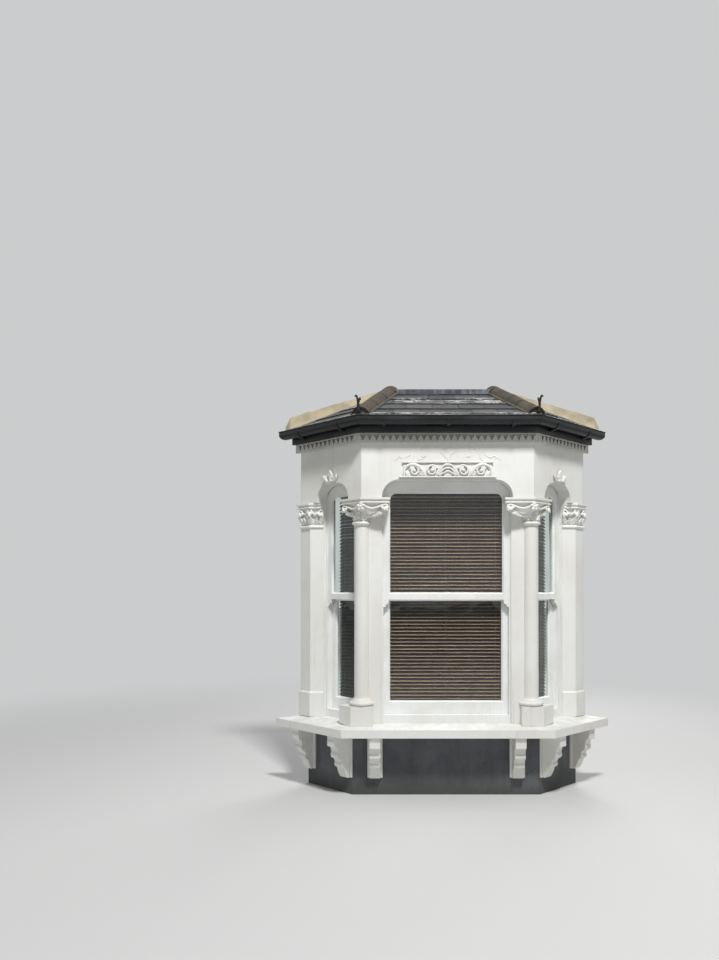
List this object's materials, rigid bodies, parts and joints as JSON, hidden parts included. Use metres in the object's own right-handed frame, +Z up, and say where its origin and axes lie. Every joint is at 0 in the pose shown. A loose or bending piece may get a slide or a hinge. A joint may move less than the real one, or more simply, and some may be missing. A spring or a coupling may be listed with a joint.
{
  "type": "canted bay window",
  "caption": "Ground floor canted bay: sash windows between corner columns, carved capitals, scroll consoles under the sill, toothed cornice and a slated hipped roof.",
  "frame": {"origin": "middle of the footprint box at ground level", "axes": "+X to the right along the house wall, +Y into the house, +Z up"},
  "size_m": [2.847, 0.686, 3.4156],
  "materials": {
    "render": "weathered cement render",
    "concrete": "rough concrete",
    "floor_wood": "worn floorboards",
    "white_masonry": "masonry paint on stone and render",
    "cornice_paint": "weathered masonry paint",
    "white_joinery": "gloss paint on softwood",
    "white_metal": "gloss paint",
    "glass": "clear sheet glass",
    "blind_wood": "stained slats",
    "plaster": "plaster",
    "raw_timber": "sawn softwood",
    "black_joinery": "black gloss paint",
    "cast_iron": "black paint",
    "slate": "weathered slate",
    "clay": "weathered clay",
    "lead": "weathered lead",
    "cement": "cement mortar"
  },
  "bodies": {
    "root": {"oversite": "concrete", "floor_boards": "floor_wood", "apron_front": "render", "apron_left": "render", "apron_right": "render", "consoles": "white_masonry", "sill_front": "white_masonry", "sill_left": "white_masonry", "sill_right": "white_masonry", "window_boards": "white_joinery", "pier_left": "white_masonry", "pier_right": "white_masonry", "column_plinths": "white_masonry", "column_left": "white_masonry", "column_right": "white_masonry", "column_capital_left": "white_masonry", "column_capital_right": "white_masonry", "pilaster_left": "white_masonry", "pilaster_right": "white_masonry", "pilaster_capitals": "white_masonry", "lintel_front": "white_masonry", "lintel_left": "white_masonry", "lintel_right": "white_masonry", "label_panel": "white_masonry", "side_bosses": "white_masonry", "cornice_front": "cornice_paint", "cornice_left": "cornice_paint", "cornice_right": "cornice_paint", "sash_box_front": "white_joinery", "sash_boxes_side": "white_joinery", "upper_sash_front": "white_joinery", "lower_sash_front": "white_joinery", "upper_sashes_side": "white_joinery", "lower_sashes_side": "white_joinery", "glass_panes": "glass", "sash_fasteners": "white_metal", "blinds": "blind_wood", "ceiling": "plaster", "joists": "raw_timber", "wall_plate_front": "raw_timber", "wall_plate_left": "raw_timber", "wall_plate_right": "raw_timber", "rafters": "raw_timber", "fascia": "black_joinery", "gutter_front": "cast_iron", "gutter_left": "cast_iron", "gutter_right": "cast_iron", "gutter_brackets": "cast_iron", "roof_front": "slate", "roof_left": "slate", "roof_right": "slate", "hip_tiles": "clay", "hip_irons": "cast_iron", "ridge_flashing": "lead", "cement_fillets": "cement"}
  },
  "joints": []
}
